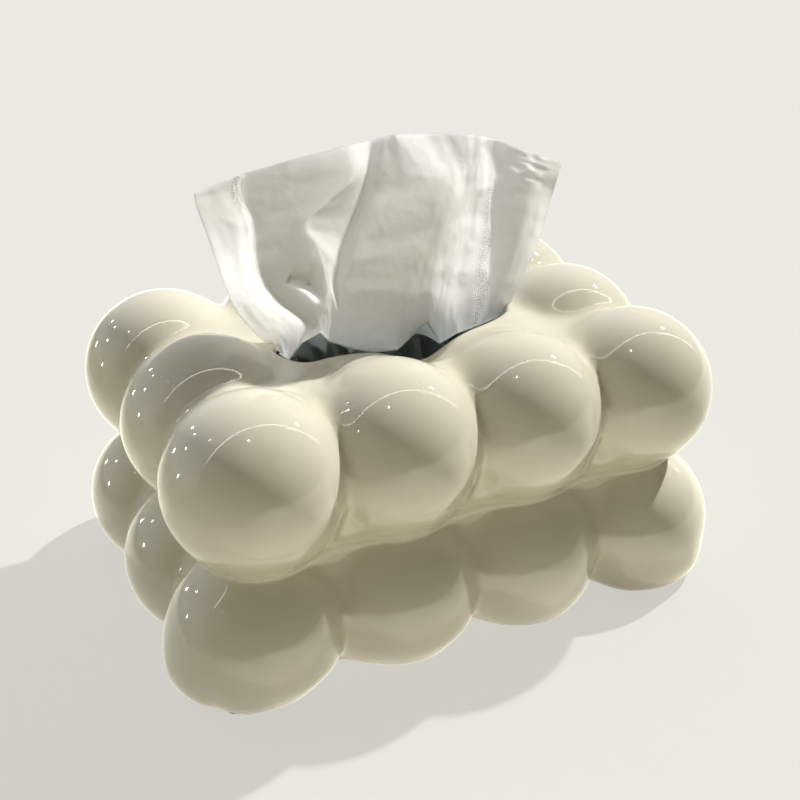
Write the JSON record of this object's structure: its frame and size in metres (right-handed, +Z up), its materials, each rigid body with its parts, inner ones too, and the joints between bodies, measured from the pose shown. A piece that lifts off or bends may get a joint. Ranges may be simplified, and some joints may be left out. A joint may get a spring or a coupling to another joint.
{
  "type": "tissue box cover",
  "caption": "Open-bottomed glazed ceramic cover made of two stacked rings of fused round bubbles, set over a soft pack, with a tissue drawn up through an oval mouth.",
  "frame": {"origin": "on the table, under the middle of the cover", "axes": "+X along the cover's length, +Y from the front long side to the back one, +Z up through the mouth"},
  "size_m": [0.217, 0.157, 0.1683],
  "materials": {
    "glaze": "glossy cream glaze with fine pinholes",
    "pad": "matt silicone",
    "film": "thin soft slate-coloured film, lightly creased",
    "tissue": "matt two-ply tissue with embossed edges"
  },
  "bodies": {
    "pack": {"pack_film": "film", "tissue_stack": "tissue"},
    "cover": {"bubble_cover": "glaze", "anti_slip_pad_front_left": "pad", "anti_slip_pad_front_right": "pad", "anti_slip_pad_back_left": "pad", "anti_slip_pad_back_right": "pad"},
    "tissue": {"drawn_tissue": "tissue"}
  },
  "joints": [
    {"name": "cover_lift", "type": "slide", "parent": "pack", "child": "cover", "axis": [0, 0, 1], "range_m": [0, 0.08]},
    {"name": "tissue_pull", "type": "slide", "parent": "cover", "child": "tissue", "axis": [0, 0, 1], "range_m": [0, 0.075]}
  ]
}
